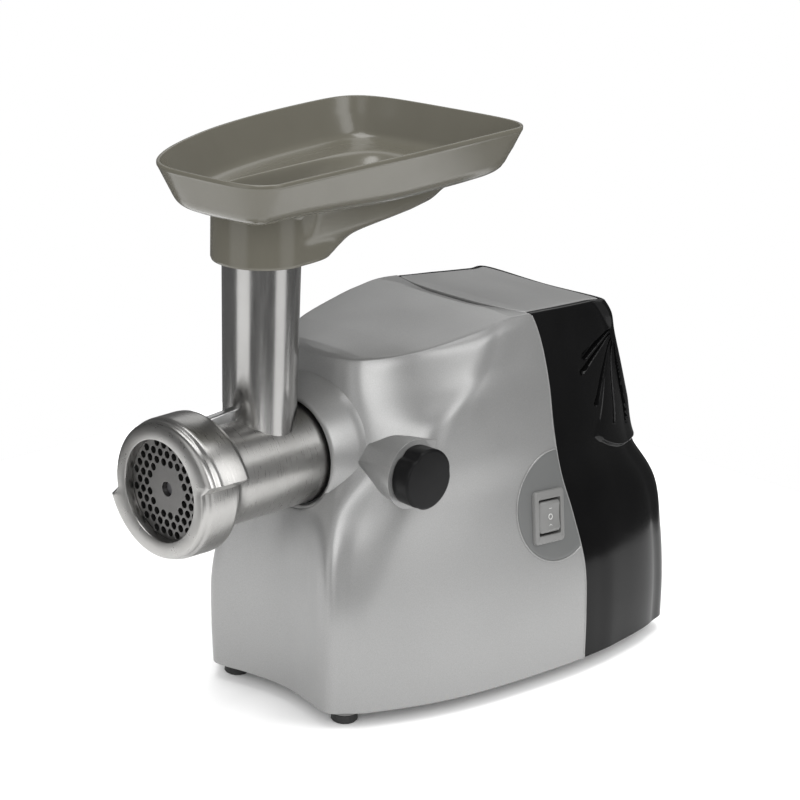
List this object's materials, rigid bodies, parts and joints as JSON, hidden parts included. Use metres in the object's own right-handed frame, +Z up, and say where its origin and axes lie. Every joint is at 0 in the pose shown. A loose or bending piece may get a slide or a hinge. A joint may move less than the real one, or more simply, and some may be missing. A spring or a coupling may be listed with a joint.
{
  "type": "electric meat grinder",
  "caption": "Table-top electric meat grinder: housing with motor and gear train, removable cast grinding head with auger, knife, plate and ring nut, and a lift-off feed tray.",
  "frame": {"origin": "centre of the bounding box on the table plane, under the feet", "axes": "+Y from the ring nut to the cord end, +X to the side with the lock knob and the switch, +Z up"},
  "size_m": [0.1824, 0.338, 0.318],
  "materials": {
    "silver_paint": "satin metallic silver paint on ABS",
    "black_gloss": "high gloss black ABS",
    "black_plastic": "satin black plastic",
    "tray_plastic": "satin olive taupe polypropylene",
    "cast_aluminium": "polished and turned casting",
    "plate_steel": "ground carbon steel",
    "grey_panel": "mid grey satin",
    "light_plastic": "light grey satin",
    "rubber": "moulded black rubber",
    "gear_nylon": "natural nylon",
    "steel": "machined steel",
    "laminated_iron": "stamped electrical steel sheets",
    "enamelled_copper": "enamelled copper wire and bars",
    "carbon": "pressed carbon",
    "gearbox_plastic": "glass filled nylon"
  },
  "bodies": {
    "housing": {"front_shell": "silver_paint", "top_panel": "silver_paint", "rear_cover": "black_gloss", "head_socket": "black_plastic", "brush_holder_left": "black_plastic", "brush_holder_right": "black_plastic", "front_motor_bracket": "cast_aluminium", "rear_motor_bracket": "cast_aluminium", "switch_panel": "grey_panel", "base_plate": "light_plastic", "switch_body": "light_plastic", "foot_front_left": "rubber", "foot_front_right": "rubber", "foot_rear_left": "rubber", "foot_rear_right": "rubber", "cord_gland": "rubber", "output_bearing": "steel", "intermediate_shaft": "steel", "front_motor_bearing": "steel", "rear_motor_bearing": "steel", "gearbox_screw_1": "steel", "gearbox_screw_2": "steel", "gearbox_screw_3": "steel", "gearbox_screw_4": "steel", "base_screw_front_left": "steel", "base_screw_front_right": "steel", "base_screw_rear_left": "steel", "base_screw_rear_right": "steel", "motor_stator": "laminated_iron", "field_coil_upper": "enamelled_copper", "field_coil_lower": "enamelled_copper", "carbon_brush_left": "carbon", "carbon_brush_right": "carbon", "gearbox_housing": "gearbox_plastic", "gearbox_cover": "gearbox_plastic"},
    "motor_rotor": {"motor_pinion": "steel", "motor_shaft": "steel", "armature": "laminated_iron", "commutator": "enamelled_copper", "cooling_fan": "gearbox_plastic"},
    "intermediate_stage": {"intermediate_gear": "gear_nylon"},
    "output_stage": {"output_gear": "gear_nylon"},
    "head": {"grinder_head": "cast_aluminium", "plate_key": "steel"},
    "feed_screw": {"auger": "cast_aluminium", "knife": "plate_steel", "auger_washer": "gear_nylon"},
    "plate": {"cutting_plate": "plate_steel"},
    "nut": {"ring_nut": "cast_aluminium"},
    "tray": {"feed_tray": "tray_plastic"},
    "knob": {"lock_knob": "black_plastic"},
    "pin": {"lock_pin": "steel"},
    "rocker": {"switch_rocker": "light_plastic"}
  },
  "joints": [
    {"name": "motor_spin", "type": "hinge", "parent": "housing", "child": "motor_rotor", "pos_m": [0, 0.06, 0.06155], "axis": [0, 1, 0], "continuous": true},
    {"name": "intermediate_spin", "type": "hinge", "parent": "housing", "child": "intermediate_stage", "pos_m": [0.02, 0, 0.10186], "axis": [0, 1, 0], "continuous": true},
    {"name": "output_spin", "type": "hinge", "parent": "housing", "child": "output_stage", "pos_m": [0, -0.015, 0.1455], "axis": [0, 1, 0], "continuous": true},
    {"name": "head_slide", "type": "slide", "parent": "housing", "child": "head", "axis": [0, -1, 0], "range_m": [0, 0.06]},
    {"name": "auger_spin", "type": "hinge", "parent": "head", "child": "feed_screw", "pos_m": [0, -0.1, 0.1455], "axis": [0, 1, 0], "continuous": true},
    {"name": "plate_travel", "type": "slide", "parent": "head", "child": "plate", "axis": [0, -1, 0], "range_m": [0, 0.014]},
    {"name": "ring_spin", "type": "hinge", "parent": "plate", "child": "nut", "pos_m": [0, -0.155, 0.1455], "axis": [0, -1, 0], "range_deg": [0, 1440]},
    {"name": "tray_lift", "type": "slide", "parent": "head", "child": "tray", "axis": [0, 0, 1], "range_m": [0, 0.06]},
    {"name": "lock_turn", "type": "hinge", "parent": "housing", "child": "knob", "pos_m": [0.075, -0.049, 0.1455], "axis": [1, 0, 0], "range_deg": [0, 90]},
    {"name": "lock_pin_travel", "type": "slide", "parent": "housing", "child": "pin", "axis": [1, 0, 0], "range_m": [0, 0.005]},
    {"name": "rocker_tilt", "type": "hinge", "parent": "housing", "child": "rocker", "pos_m": [0.07446, 0.05154, 0.09853], "axis": [0, 0.9964, -0.0849], "range_deg": [-12, 12]}
  ],
  "couplings": [
    {"joint": "intermediate_spin", "follows": "motor_spin", "ratio": -0.2},
    {"joint": "output_spin", "follows": "motor_spin", "ratio": 0.066667},
    {"joint": "auger_spin", "follows": "motor_spin", "ratio": 0.066667},
    {"joint": "plate_travel", "follows": "ring_spin", "m_per_rad": 0.00055704},
    {"joint": "lock_pin_travel", "follows": "lock_turn", "m_per_rad": 0.0031831}
  ]
}
